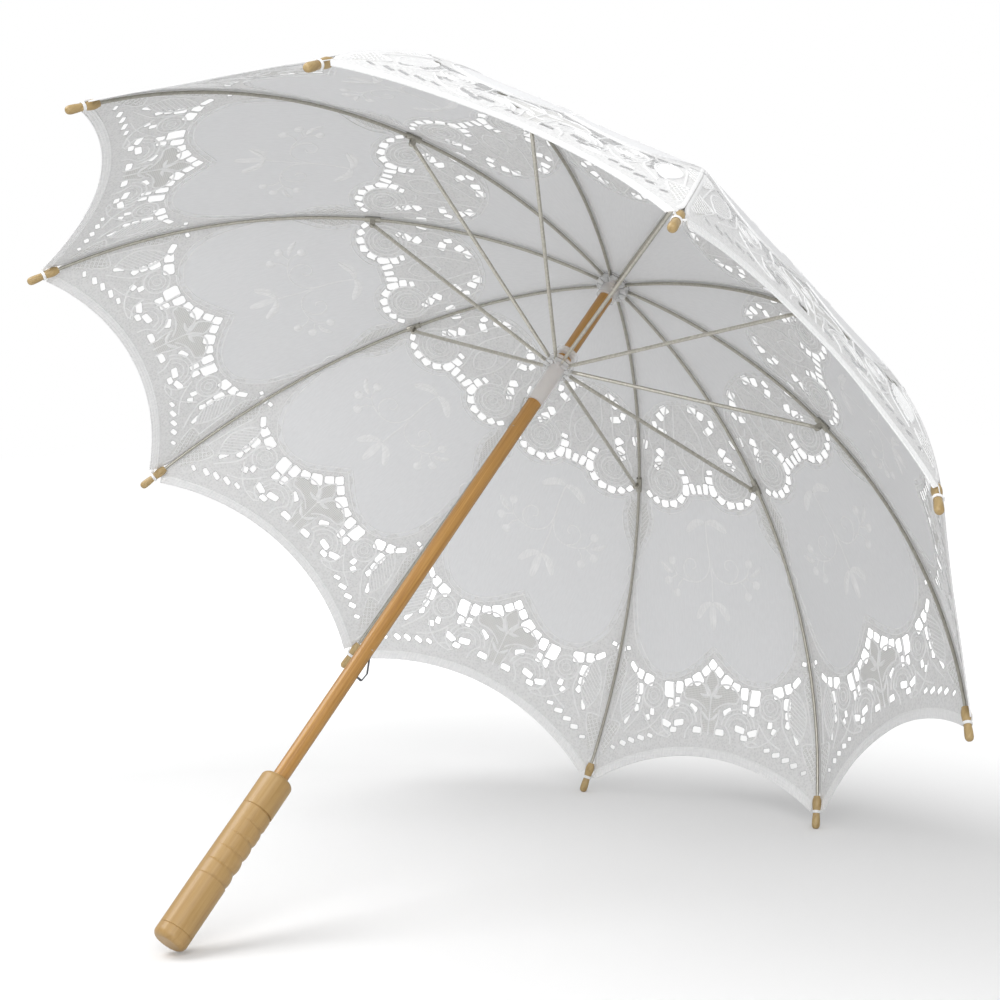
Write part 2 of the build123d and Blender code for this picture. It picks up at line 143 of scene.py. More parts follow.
LOWER_HOLES = (
    (6.7, 333.3, 8.0, 6.0, 42),
    (14.5, 340.0, 9.0, 8.5, 35),
    (24.0, 343.7, 7.0, 5.5, 15),
    (33.0, 348.5, 6.6, 9.0, 0),
    (43.2, 351.0, 9.6, 11.5, 0),
    (34.0, 360.6, 4.5, 7.0, 0),
    (41.2, 362.6, 5.0, 6.5, 0),
    (65.5, 345.0, 9.0, 8.0, -20),
    (75.0, 340.6, 6.6, 7.2, -20),
    (82.0, 335.6, 4.4, 8.5, 40),
    (74.5, 353.6, 6.4, 8.6, 0),
    (75.6, 362.6, 4.5, 6.0, 0),
    (76.4, 369.6, 4.5, 5.6, 15),
    (94.0, 321.0, 3.6, 4.6, 0),
    (88.5, 320.0, 3.6, 3.2, 0),
    (85.5, 380.0, 3.0, 8.0, -25),
    (59.5, 371.5, 4.0, 5.0, 0),
    (64.4, 376.5, 4.6, 4.6, 20),
    (17.0, 364.5, 7.5, 4.0, -28),
    (31.0, 377.5, 9.0, 4.6, 12),
    (43.6, 379.5, 8.6, 5.0, -18),
    (35.7, 384.0, 6.2, 4.0, 0),
    (11.3, 381.8, 7.5, 4.6, 0),
    (59.0, 391.4, 5.0, 2.8, -10),
    (68.5, 394.0, 6.4, 3.4, -12),
    (78.0, 397.2, 6.0, 3.4, -15),
    (86.5, 400.6, 5.6, 3.6, -18),
    (96.5, 405.0, 4.6, 2.6, -20),
)
MIDDLE_HOLES = (
    (0.0, 179.5, 4.2, 8.0, 0),
    (0.0, 327.3, 7.0, 7.0, 45),
)


# ---------------------------------------------------------------- the flat panel


def from_axis(along):
    """How far a point of the rib's curve stands from the parasol's axis."""
    return CURVE_OUT + CLOTH_R * math.sin(along / CLOTH_R)


def half_width(along):
    """Half of the panel's width, from its middle to the rib."""
    return from_axis(along) * math.sin(HALF_STEP)


def hem_along(across):
    """Where the scalloped hem runs, at a distance from the panel's middle."""
    out = HEM_FROM_AXIS + HEM_CURVE_R - math.sqrt(HEM_CURVE_R**2 - across**2)
    return CLOTH_R * math.asin((out / math.cos(HALF_STEP) - CURVE_OUT) / CLOTH_R)


def crown_along():
    """Where the cloth ends round the hole in the crown."""
    return CLOTH_R * math.asin((CROWN_HOLE_R - CURVE_OUT) / CLOTH_R)


def edge_across(along):
    """The cloth's side edge, which stands off the wooden tip near the hem."""
    past = (along - TIP_STARTS + TIP_TAPER) / TIP_TAPER
    share = min(1.0, max(0.0, past))
    return half_width(along) - SEAM_GAP - (TIP_CLEARANCE - SEAM_GAP) * share * share * (3 - 2 * share)


def corner_across():
    """How far from the middle the hem meets the side edge."""
    low = 60.0
    high = HEM_CURVE_R * 0.3
    for _ in range(HALVINGS):
        middle = (low + high) / 2
        if middle < edge_across(hem_along(middle)):
            low = middle
        else:
            high = middle
    return low


def spread(start, end, step):
    """Evenly spaced numbers from start to end."""
    count = max(1, round(abs(end - start) / step))
    return [start + (end - start) * i / count for i in range(count + 1)]


def mirrored(points):
    """The same points on the panel's other half."""
    return [(along, -across) for along, across in points]


def panel_outline():
    """The panel's cut edge, once round."""
    corner = corner_across()
    side = [(a, edge_across(a)) for a in spread(crown_along(), hem_along(corner), GRID_STEP)]
    hem = [(hem_along(a), a) for a in spread(corner, -corner, GRID_STEP * 0.7)]
    return side + hem[1:-1] + mirrored(side)[::-1]


def inside(point, loop):
    """Whether a flat point is inside a closed outline."""
    along, across = point
    found = False
    before = loop[-1]
    for here in loop:
        if (here[1] > across) != (before[1] > across):
            cut = here[0] + (across - here[1]) * (before[0] - here[0]) / (before[1] - here[1])
            if along < cut:
                found = not found
        before = here
    return found


def hole_loop(hole, chance):
    """One hole in the lace: an uneven four-sided cut with small bevelled corners."""
    across, along, width, height, turn = hole
    spin = math.radians(turn)
    corners = []
    for u, v in ((1, 1), (-1, 1), (-1, -1), (1, -1)):
        wide = width / 2 * HOLE_GROWTH * (1 + chance.uniform(-HOLE_UNEVEN, HOLE_UNEVEN))
        high = height / 2 * HOLE_GROWTH * (1 + chance.uniform(-HOLE_UNEVEN, HOLE_UNEVEN))
        corners.append(Vector((u * wide, v * high)))
    loop = []
    for i, corner in enumerate(corners):
        for neighbour in (corners[i - 1], corners[(i + 1) % 4]):
            spot = corner.lerp(neighbour, HOLE_BEVEL)
            down = along + spot.x * math.sin(spin) + spot.y * math.cos(spin)
            loop.append((down, across + spot.x * math.cos(spin) - spot.y * math.sin(spin)))
    return loop


def all_holes():
    """Every hole of one panel, on both halves."""
    chance = random.Random(11)
    loops = [hole_loop(hole, chance) for hole in MIDDLE_HOLES]
    for hole in RING_HOLES + LOWER_HOLES:
        loop = hole_loop(hole, chance)
        loops.append(loop)
        loops.append(mirrored(loop)[::-1])
    return loops


def arc(across, along, radius, start, end):
    """Points on a circle. Zero degrees is away from the panel's middle and 90 is towards the hem."""
    points = []
    for angle in spread(math.radians(start), math.radians(end), CURVE_STEP / radius):
        points.append((along + radius * math.sin(angle), across + radius * math.cos(angle)))
    return points


def smooth(*knots):
    """A smooth curve through knots given as (across, along)."""
    ends = [knots[0], *knots, knots[-1]]
    points = []
    for i in range(1, len(ends) - 2):
        p0, p1, p2, p3 = (Vector(k) for k in ends[i - 1 : i + 3])
        count = max(1, round((p2 - p1).length / CURVE_STEP))
        for j in range(count):
            t = j / count
            bend = 2 * p0 - 5 * p1 + 4 * p2 - p3
            rise = 3 * p1 - p0 - 3 * p2 + p3
            here = (2 * p1 + (p2 - p0) * t + bend * t * t + rise * t * t * t) / 2
            points.append((here.y, here.x))
    points.append((knots[-1][1], knots[-1][0]))
    return points


def beside(path, distance):
    """A line that runs beside another at a distance, on its left going along it."""
    moved = []
    for i, here in enumerate(path):
        before = Vector(path[max(0, i - 1)])
        after = Vector(path[min(len(path) - 1, i + 1)])
        way = (after - before).normalized()
        moved.append((here[0] - way.y * distance, here[1] + way.x * distance))
    return moved


def from_rib(distance, along):
    """A knot given by its distance from the rib instead of from the middle."""
    return (half_width(along) - distance, along)


# ---------------------------------------------------------------- lace lines, on one half


def upper_tape():
    """The tape between the plain crown and the ring of lace."""
    return smooth((0, 100), (9, 100.2), (20, 104), (32, 112), from_rib(1.0, 121))


def medallion_top():
    """The plain linen's upper edge: a cusp, a scallop round the rosette, then a long line by the rib."""
    turn = arc(33, 172, 26.6, 148, 42)
    down = smooth(
        (turn[-1][1], turn[-1][0]),
        from_rib(10.5, 197),
        from_rib(13.0, 206),
        from_rib(11.0, 220),
        from_rib(4.5, 234),
        from_rib(1.2, 241),
    )
    return [(185.5, 0.0), (185.7, 5.0)] + turn + down[1:]


def medallion_bottom():
    """The lower edge of the plain linen: two deep lobes with a cusp between them."""
    return smooth(
        from_rib(1.2, 261),
        from_rib(3.6, 270),
        from_rib(9.0, 294),
        from_rib(16.0, 313),
        from_rib(26.5, 327),
        from_rib(38.0, 336),
        (47, 340),
        (32, 337.5),
        (19, 330),
        (8, 321),
        (0, 314.5),
    )


def lily_zone():
    """The open mesh of the flower in the middle of the hem's lace."""
    right = [(333, 2), (339, 5.5), (346, 8), (344, 15), (346, 22), (351, 28), (356.5, 25)]
    right += [(357, 16), (361, 9.5), (370, 8), (378, 6.5), (384, 7.5)]
    return right + mirrored(right)[::-1]


def leaf_loop(across, along, length, width, lean):
    """A pointed leaf's outline. A lean of zero points along the panel."""
    turn = math.radians(lean)
    loop = []
    for side in (1, -1):
        for i in range(9):
            t = i / 9 if side > 0 else 1 - i / 9
            u = (t - 0.5) * length
            v = side * width / 2 * math.sin(math.pi * t) ** 0.8
            down = along + u * math.cos(turn) - v * math.sin(turn)
            loop.append((down, across + u * math.sin(turn) + v * math.cos(turn)))
    return loop


def rib_leaf():
    """The large hatched leaf beside the rib."""
    across, along = from_rib(19.5, 361)
    return leaf_loop(across, along, 42, 17, 14)


def rib_mesh_zone():
    """The open mesh between the large leaf and the rib."""
    knots = [from_rib(2, 322), from_rib(9, 327), from_rib(9.5, 346), from_rib(3, 362), from_rib(2, 350)]
    return [(along, across) for across, along in knots]


def tip_mesh_zone():
    """The open mesh that runs into the corner by the tip."""
    knots = [from_rib(3, 384), from_rib(16, 386), from_rib(12, 400), from_rib(7, 411), from_rib(3, 411)]
    return [(along, across) for across, along in knots]


def vesica_zone():
    """The fine mesh between the rib and the plain linen's upper edge."""
    knots = [from_rib(2, 190), from_rib(9, 194), from_rib(11, 206)]
    knots += [from_rib(9, 220), from_rib(3, 233), from_rib(2, 220)]
    return [(along, across) for across, along in knots]


# ---------------------------------------------------------------- flat mesh


class FlatMesh:
    """Gathers vertices (along, across, lift) and faces with a material each."""

    def __init__(self):
        self.points = []
        self.faces = []
        self.kinds = []

    def add(self, points, faces, kind):
        first = len(self.points)
        self.points += points
        self.faces += [tuple(first + i for i in face) for face in faces]
        self.kinds += [kind] * len(faces)


# The cloth's materials by kind; the last one, the edge, is darker as painted shade.
LINEN, NET, MESH, THREAD, SHADED_EDGE = range(5)


def inner_grid(outline, holes):
    """Points inside the cloth, clear of its edges and holes."""
    circles = []
    for loop in holes:
        centre = sum((Vector(p) for p in loop), Vector((0, 0))) / len(loop)
        circles.append((centre, max((Vector(p) - centre).length for p in loop) + HOLE_CLEARANCE))
    points = []
    bottom = max(along for along, _ in outline)
    for row, along in enumerate(spread(crown_along() + GRID_STEP, bottom, GRID_STEP)):
        reach = edge_across(along) - EDGE_CLEARANCE
        shift = GRID_STEP / 2 * (row % 2)
        count = int(reach / GRID_STEP) + 1
        for i in range(-count, count + 1):
            across = i * GRID_STEP + shift
            if abs(across) > reach or along > hem_along(across) - EDGE_CLEARANCE:
                continue
            here = Vector((along, across))
            if all((here - centre).length > radius for centre, radius in circles):
                points.append((along, across))
    return points


def ground_kind(point, zones):
    """What the cloth is at a flat point: plain linen, lace net or open mesh."""
    along, across = point
    for kind, loop in zones:
        if inside((along, abs(across)), loop):
            return kind
    return NET


def cloth_zones():
    """The kinds of cloth on one half, the first match counting."""
    crown = [(crown_along() - 5, -1), (100, -1)] + upper_tape()
    crown += [(100, 60), (crown_along() - 5, 60)]
    linen = [(185.5, -1)] + medallion_top() + [(251, half_width(251) + 2)]
    linen += medallion_bottom() + [(314.5, -1)]
    return (
        (LINEN, crown),
        (LINEN, linen),
        (MESH, [(a, c) for a, c in lily_zone() if c >= 0] + [(384, -1), (333, -1)]),
        (MESH, rib_mesh_zone()),
        (MESH, tip_mesh_zone()),
        (MESH, vesica_zone()),
    )


def add_cloth(flat, holes):
    """The woven ground with every hole cut through it, as a thin closed body."""
    outline = panel_outline()
    points = []
    edges = []
    for loop in [outline] + holes:
        first = len(points)
        points += loop
        edges += [(first + i, first + (i + 1) % len(loop)) for i in range(len(loop))]
    points += inner_grid(outline, holes)
    made = delaunay_2d_cdt([Vector(p) for p in points], edges, [], 0, 1e-4)
    corners = [(p.x, p.y) for p in made[0]]
    zones = cloth_zones()
    kept = []
    for face in made[2]:
        centre = (sum(corners[i][0] for i in face) / 3, sum(corners[i][1] for i in face) / 3)
        if not inside(centre, outline):
            continue
        if any(inside(centre, loop) for loop in holes):
            continue
        kept.append((face, ground_kind(centre, zones)))
    uses = {}
    for face, _ in kept:
        for i in range(3):
            edge = (face[i], face[(i + 1) % 3])
            key = tuple(sorted(edge))
            uses[key] = None if key in uses else edge
    count = len(corners)
    both = [(a, c, CLOTH_HALF) for a, c in corners] + [(a, c, -CLOTH_HALF) for a, c in corners]
    for kind in (LINEN, NET, MESH):
        faces = [face for face, k in kept if k == kind]
        faces += [tuple(i + count for i in reversed(face)) for face, k in kept if k == kind]
        flat.faces += faces
        flat.kinds += [kind] * len(faces)
    # The cut walls take the darker edge material, painted shade along the cut.
    walls = [(e[1], e[0], e[0] + count, e[1] + count) for e in uses.values() if e]
    flat.points += both
    flat.faces += walls
    flat.kinds += [SHADED_EDGE] * len(walls)


def add_ribbon(flat, path, width, rise=THREAD_RISE, closed=False, taper=False, kind=THREAD):
    """A raised line of thread along a flat path, standing proud of both faces of the cloth."""
    sections = []
    count = len(path)
    for i, here in enumerate(path):
        before = Vector(path[(i - 1) % count] if closed else path[max(0, i - 1)])
        after = Vector(path[(i + 1) % count] if closed else path[min(count - 1, i + 1)])
        way = (after - before).normalized()
        left = Vector((-way.y, way.x))
        share = math.sin(math.pi * (0.06 + 0.88 * i / (count - 1))) ** 0.7 if taper else 1.0
        half = width / 2 * share
        top = CLOTH_HALF + rise * (0.5 + 0.5 * share)
        for side, lift in ((1, 0.0), (0.55, top), (-0.55, top), (-1, 0.0), (-0.55, -top), (0.55, -top)):
            spot = Vector(here) + left * half * side
            sections.append((spot.x, spot.y, lift))
    faces = []
    for i in range(count if closed else count - 1):
        a = 6 * i
        b = 6 * ((i + 1) % count)
        for j in range(6):
            k = (j + 1) % 6
            faces.append((a + j, a + k, b + k, b + j))
    if not closed:
        last = 6 * (count - 1)
        faces.append((5, 4, 3, 2, 1, 0))
        faces.append(tuple(last + j for j in range(6)))
    flat.add(sections, faces, kind)


def add_rim(flat, loop):
    """The stitched edge round a hole, a slim line of diamond section, in the darker edge material that is
    painted shade.
    """
    centre = sum((Vector(p) for p in loop), Vector((0, 0))) / len(loop)
    middle = RIM_WIDTH / 2
    diamond = ((-0.1, 0.0), (middle, RIM_RISE), (RIM_WIDTH, 0.0), (middle, -RIM_RISE))
    sections = []
    for p in loop:
        way = (Vector(p) - centre).normalized()
        for reach, lift in diamond:
            spot = Vector(p) + way * reach
            sections.append((spot.x, spot.y, lift))
    faces = []
    count = len(loop)
    for i in range(count):
        a = 4 * i
        b = 4 * ((i + 1) % count)
        for j in range(4):
            k = (j + 1) % 4
            faces.append((a + j, a + k, b + k, b + j))
    flat.add(sections, faces, SHADED_EDGE)


def add_berry(flat, across, along, radius):
    """A small raised dot of satin stitch."""
    steps = BERRY_STEPS
    points = [(along, across, CLOTH_HALF + 0.8), (along, across, -CLOTH_HALF - 0.8)]
    rings = ((0.6, CLOTH_HALF + 0.62), (1.0, 0.0), (0.6, -CLOTH_HALF - 0.62))
    for reach, lift in rings:
        for i in range(steps):
            angle = 2 * math.pi * i / steps
            down = along + radius * reach * math.cos(angle)
            points.append((down, across + radius * reach * math.sin(angle), lift))
    faces = []
    for i in range(steps):
        j = (i + 1) % steps
        faces.append((0, 2 + i, 2 + j))
        faces.append((1, 2 + 2 * steps + j, 2 + 2 * steps + i))
        for ring in (0, 1):
            a = 2 + ring * steps
            b = a + steps
            faces.append((a + i, b + i, b + j, a + j))
    flat.add(points, faces, THREAD)


def add_both(flat, path, width, **more):
    """A ribbon and its mirror image."""
    add_ribbon(flat, path, width, **more)
    add_ribbon(flat, mirrored(path), width, **more)


def add_leaf(flat, knots, width):
    """A leaf of satin stitch, pointed at both ends, with a vein."""
    add_both(flat, smooth(*knots), width, rise=0.45, taper=True)
    add_both(flat, smooth(*knots), 0.9, rise=0.75, taper=True)


def add_tapes(flat):
    """The double tapes that edge the crown and the plain linen."""
    for line in (upper_tape(), medallion_top(), medallion_bottom()):
        for distance in (-2.0, 2.0):
            add_both(flat, beside(line, distance), 1.15)


def add_ring_lace(flat):
    """The rosettes and curved tapes of the ring near the crown."""
    for radius, width in ((7.0, 1.2), (10.0, 1.5), (13.5, 1.2), (17.0, 1.6)):
        circle = arc(33, 172, radius, 0, 360)[:-1]
        for path in (circle, mirrored(circle)):
            add_ribbon(flat, path, width, closed=True)
    oval = [(172 + 4.2 * math.sin(t), 33 + 2.6 * math.cos(t)) for t in spread(0, 2 * math.pi, 0.5)[:-1]]
    for path in (oval, mirrored(oval)):
        add_ribbon(flat, path, 1.1, closed=True)
    curves = (
        ((9, 101), (18, 119), (22, 134), (25, 143), (33, 161), (30, 154)),
        ((3, 102), (8, 118), (13, 136), (12, 152), (8, 163), (7, 172)),
        ((24, 106), (33, 121), (38, 133), (38, 146), (43, 158), (50, 168)),
        ((0, 134), (6, 141), (8, 150), (5, 158), (0, 162)),
        ((40, 121), (41, 131), (46, 142), (48, 152)),
        ((14, 152), (20, 150), (25, 154), (24, 160)),
        ((28, 133), (33, 137), (37, 136)),
    )
    for knots in curves:
        add_both(flat, smooth(*knots), 1.5)
    loop = leaf_loop(*from_rib(0, 253), 18, 12, 0)
    add_both(flat, [p for p in loop if p[1] < half_width(p[0]) - 1], 1.4)
    hatch_zone(flat, vesica_zone(), 2.6, 50, 0.7)


def hatch_zone(flat, loop, pitch, lean, width):
    """Fine parallel threads across a zone, on both halves."""
    turn = math.radians(lean)
    way = Vector((math.cos(turn), math.sin(turn)))
    side = Vector((-way.y, way.x))
    marks = [Vector(p).dot(side) for p in loop]
    for level in spread(min(marks) + pitch / 2, max(marks) - pitch / 2, pitch):
        cuts = []
        before = Vector(loop[-1])
        for p in loop:
            here = Vector(p)
            a = before.dot(side) - level
            b = here.dot(side) - level
            if (a > 0) != (b > 0):
                cuts.append((before + (here - before) * (a / (a - b))).dot(way))
            before = here
        cuts.sort()
        for start, end in zip(cuts[::2], cuts[1::2]):
            if end - start > 2 * width:
                line = [tuple(side * level + way * t) for t in spread(start, end, 6.0)]
                add_both(flat, line, width, rise=0.3)


def add_sprig(flat):
    """The embroidered sprig on the plain linen."""
    stem = 1.5
    add_ribbon(flat, smooth((0, 209), (0.8, 228), (-0.6, 250), (0, 275)), stem, rise=0.22)
    add_leaf(flat, ((0.5, 208), (9, 208), (20, 216)), 8.0)
    add_leaf(flat, ((1, 276), (9, 280), (16, 290)), 7.6)
    add_ribbon(flat, smooth((0, 276), (0.4, 287), (0, 299)), 8.2, rise=0.45, taper=True)
    arms = (
        ((0, 240), (3, 251), (10, 257.5), (19, 259), (28, 257), (35, 252.5), (38, 245)),
        ((18, 259), (25, 254), (27, 246), (22, 239.5), (15.5, 240.5), (14.5, 246), (18, 248)),
        ((34, 253.5), (41, 257)),
        ((28, 257), (33, 261), (35, 266)),
    )
    for knots in arms:
        add_both(flat, smooth(*knots), stem, rise=0.22)
    add_leaf(flat, ((39, 252), (45, 249), (50, 243)), 4.8)
    for across, along in ((38.4, 241.5), (44, 259), (35.6, 269)):
        add_berry(flat, across, along, 4.2)
        add_berry(flat, -across, along, 4.2)


def add_lily(flat):
    """The flower, leaves and stem in the middle of the hem's lace."""
    add_both(flat, smooth((0, 331.5), (4.5, 337), (6.5, 345), (3, 351), (0, 355)), 1.5)
    add_both(flat, smooth((4, 352), (8, 344.5), (15, 342.5), (22, 345), (28.5, 351)), 1.5)
    add_both(flat, smooth((28.5, 351), (25.5, 357), (16, 357.8), (8.5, 361), (3, 366)), 1.5)
    add_ribbon(flat, smooth((0, 352), (0, 366), (0, 385)), 1.4)
    add_leaf(flat, ((0.4, 352), (3.4, 348), (6, 343)), 3.4)
    add_leaf(flat, ((0.4, 352.5), (5.5, 353.5), (11, 352)), 3.4)
    add_leaf(flat, ((0.5, 373), (4.5, 370.5), (8, 366)), 3.4)
    add_both(flat, smooth((9, 363), (8.5, 372), (6.5, 379), (7, 386)), 1.3)


def add_scrolls(flat):
    """The round petals, rosettes and crossing tapes on each side of the flower."""
    for radius, width in ((16.5, 1.7), (13.0, 1.4), (9.0, 1.2)):
        add_both(flat, arc(29, 378, radius, 188, 352), width)
    for radius, width in ((10.5, 1.8), (7.0, 1.2), (3.6, 1.1)):
        circle = arc(59, 357.5, radius, 0, 360)[:-1]
        for path in (circle, mirrored(circle)):
            add_ribbon(flat, path, width, closed=True)
    curves = (
        ((46.5, 368), (53, 377), (61, 384.5), (72, 390)),
        ((69, 372), (62, 382), (52, 389), (40, 391)),
        ((49, 373), (47, 383), (38, 389.5)),
        ((50, 388.5), (43, 386), (37, 388.2), (42, 391)),
        ((70, 349.5), (70.5, 360), (71.5, 371), (78, 381), (87, 391)),
        ((47, 343.5), (52, 343), (58, 341)),
        ((26.5, 349), (31, 355.5), (30.5, 363)),
        ((39, 345.5), (37.8, 356), (37.8, 367)),
        ((23, 390), (22, 383), (16.5, 376)),
    )
    for knots in curves:
        add_both(flat, smooth(*knots), 1.6)


def add_rib_leaves(flat):
    """The hatched leaves and mesh beside each rib."""
    leaf = rib_leaf()
    for path in (leaf, mirrored(leaf)):
        add_ribbon(flat, path, 1.7, closed=True)
    hatch_zone(flat, leaf, 2.7, 52, 1.0)
    for lean in (38, -48):
        hatch_zone(flat, rib_mesh_zone(), 3.2, lean, 0.8)
        hatch_zone(flat, tip_mesh_zone(), 3.3, lean, 0.8)
    spine = smooth(from_rib(3.4, 326), from_rib(9.8, 337), from_rib(8.6, 352), from_rib(6.4, 384))
    add_both(flat, spine, 1.4)
    add_both(flat, smooth(from_rib(3.4, 382), from_rib(16.5, 385), from_rib(13, 399)), 1.4)


def add_hem(flat):
    """The hem's tape with its stitched lines, and the seams along both ribs."""
    corner = corner_across() - 1.0
    edge = [(hem_along(a), a) for a in spread(-corner, corner, 4.0)]
    add_ribbon(flat, beside(edge, -HEM_TAPE / 2 + 0.2), HEM_TAPE, rise=0.1)
    for distance in (0.7, 2.8, 5.0, 7.2):
        line = [p for p in beside(edge, -distance) if abs(p[1]) < edge_across(p[0]) - 0.9]
        add_ribbon(flat, line, 1.0, rise=0.36)
    rows = spread(crown_along() + 1, hem_along(corner) - 6, 8.0)
    side = [(a, edge_across(a) - SIDE_BAND / 2) for a in rows]
    add_both(flat, side, SIDE_BAND, rise=0.15)


def flat_panel():
    """The whole panel, flat."""
    flat = FlatMesh()
    holes = all_holes()
    add_cloth(flat, holes)
    for loop in holes:
        add_rim(flat, loop)
    add_tapes(flat)
    add_ring_lace(flat)
    add_sprig(flat)
    add_lily(flat)
    add_scrolls(flat)
    add_rib_leaves(flat)
    add_hem(flat)
    return flat


def facing_out(flat):
    """The flat panel's faces, each turned to face out of its own closed body."""
    mesh = bpy.data.meshes.new("flat_panel")
    mesh.from_pydata(flat.points, [], flat.faces)
    work = bmesh.new()
    work.from_mesh(mesh)
    bmesh.ops.recalc_face_normals(work, faces=work.faces)
    work.faces.ensure_lookup_table()
    faces = [tuple(v.index for v in face.verts) for face in work.faces]
    work.free()
    bpy.data.meshes.remove(mesh)
    return faces


# ---------------------------------------------------------------- the bent panels


def wrinkle(along, across, number):
    """A slight unevenness of the stretched cloth, different on each panel and none at its edges."""
    width = half_width(along)
    hold = max(0.0, 1 - (across / width) ** 2)
    phase = 1.7 * number
    folds = math.sin(along / 31 + phase) * math.cos(across / 19 - phase)
    folds += 0.6 * math.sin((along + 1.6 * across) / 23 + 2.1 * phase)
    return WRINKLE_RISE * hold * folds * 0.6


def bent(point, azimuth, curve_height, number):
    """A flat point's place over the ribs, in metres."""
    along, across, lift = point
    turn = along / CLOTH_R
    reach = CLOTH_R + lift + wrinkle(along, across, number)
    out = (CURVE_OUT + reach * math.sin(turn)) * math.cos(HALF_STEP)
    up = curve_height + reach * math.cos(turn)
    c = math.cos(azimuth)
    s = math.sin(azimuth)
    return (MM * (out * c - across * s), MM * (out * s + across * c), MM * up)


def flat_area():
    """The panel's cut area in square metres."""
    rows = spread(crown_along(), hem_along(corner_across()), 1.0)
    area = 0.0
    for along in rows:
        width = half_width(along)
        if along > hem_along(0):
            low, high = 0.0, width
            for _ in range(HALVINGS):
                middle = (low + high) / 2
                if hem_along(middle) < along:
                    low = middle
                else:
                    high = middle
            width -= low
        area += 2 * width * (rows[1] - rows[0])
    return area * MM * MM


def make_panel(number, flat, faces, materials, curve_height):
    """One cloth panel, bent over its two ribs and tied to its own rib."""
    azimuth = HALF_STEP * (2 * number - 1)
    name = f"{number:02d}"
    mesh = bpy.data.meshes.new("canopy_lace_" + name)
    mesh.from_pydata([bent(p, azimuth, curve_height, number) for p in flat.points], [], faces)
    for material in materials:
        mesh.materials.append(material)
    mesh.polygons.foreach_set("material_index", flat.kinds)
    spots = mesh.uv_layers.new(name="flat")
    corners = [0] * len(mesh.loops)
    mesh.loops.foreach_get("vertex_index", corners)
    uv = []
    for i in corners:
        uv += (flat.points[i][0] * MM, flat.points[i][1] * MM)
    spots.data.foreach_set("uv", uv)
    mesh.polygons.foreach_set("use_smooth", [True] * len(faces))
    mesh.update()
    mesh.set_sharp_from_angle(angle=SHARP_ANGLE)
    panel = bpy.data.objects.new("canopy_lace_" + name, mesh)
    bpy.context.scene.collection.objects.link(panel)
    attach(panel, "rib_group_" + name)
    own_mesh(panel)
    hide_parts("canopy_gore_" + name)
    flat_area()
    return panel


def binding_point(rib, along, out, side):
    """A place beside a tip in metres: along the tip, out from its axis and to its side."""
    heading = Vector(TIP_HEADING).normalized()
    outward = Vector((-heading.y, heading.x))
    place = Vector(TIP_MOUTH) + heading * along + outward * out
    c = math.cos(rib)
    s = math.sin(rib)
    return (MM * (place.x * c - side * s), MM * (place.x * s + side * c), MM * place.y)


def add_ring(points, faces, rib, along, radius, thread):
    """One turn of thread round the tip."""
    first = len(points)
    for i in range(RING_STEPS):
        turn = 2 * math.pi * i / RING_STEPS
        for j in range(THREAD_STEPS):
            roll = 2 * math.pi * j / THREAD_STEPS
            reach = radius + thread * math.cos(roll)
            shift = along + thread * math.sin(roll)
            points.append(binding_point(rib, shift, reach * math.cos(turn), reach * math.sin(turn)))
    for i in range(RING_STEPS):
        a = first + THREAD_STEPS * i
        b = first + THREAD_STEPS * ((i + 1) % RING_STEPS)
        for j in range(THREAD_STEPS):
            k = (j + 1) % THREAD_STEPS
            faces.append((a + j, b + j, b + k, a + k))


def add_wing(points, faces, rib, side):
    """A flat stitch from the thread to one panel's corner."""
    first = len(points)
    start = TIP_WAIST_ALONG
    out = CLOTH_R - RIB_R
    triangle = ((start - 1.3, out - 0.6, 1.4), (start - 5.0, out, 4.6), (start - 0.5, out, 4.2))
    for along, place, across in triangle:
        for lift in (-WING_HALF, WING_HALF):
            points.append(binding_point(rib, along, place + lift, side * across))
    for face in ((0, 2, 4), (5, 3, 1), (0, 1, 3, 2), (2, 3, 5, 4), (4, 5, 1, 0)):
        faces.append(tuple(first + i for i in face))


def make_binding(number, material):
    """The thread that ties two panels' corners round a tip's waist."""
    name = f"{number:02d}"
    rib = 2 * HALF_STEP * (number - 1)
    points = []
    faces = []
    for turn in range(BINDING_TURNS):
        along = TIP_WAIST_ALONG + (turn - (BINDING_TURNS - 1) / 2) * BINDING_PITCH
        add_ring(points, faces, rib, along, TIP_WAIST_R + BINDING_THREAD_R, BINDING_THREAD_R)
    for side in (1, -1):
        add_wing(points, faces, rib, side)
    mesh = bpy.data.meshes.new("tip_binding_" + name)
    mesh.from_pydata(points, [], faces)
    mesh.materials.append(material)
    work = bmesh.new()
    work.from_mesh(mesh)
    bmesh.ops.recalc_face_normals(work, faces=work.faces)
    work.to_mesh(mesh)
    work.free()
    spots = mesh.uv_layers.new(name="flat")
    for corner in mesh.loops:
        place = mesh.vertices[corner.vertex_index].co
        spots.data[corner.index].uv = (place.z, place.x + place.y)
    mesh.polygons.foreach_set("use_smooth", [True] * len(mesh.polygons))
    mesh.set_sharp_from_angle(angle=SHARP_ANGLE)
    binding = bpy.data.objects.new("tip_binding_" + name, mesh)
    bpy.context.scene.collection.objects.link(binding)
    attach(binding, "rib_group_" + name)


# ---------------------------------------------------------------- materials


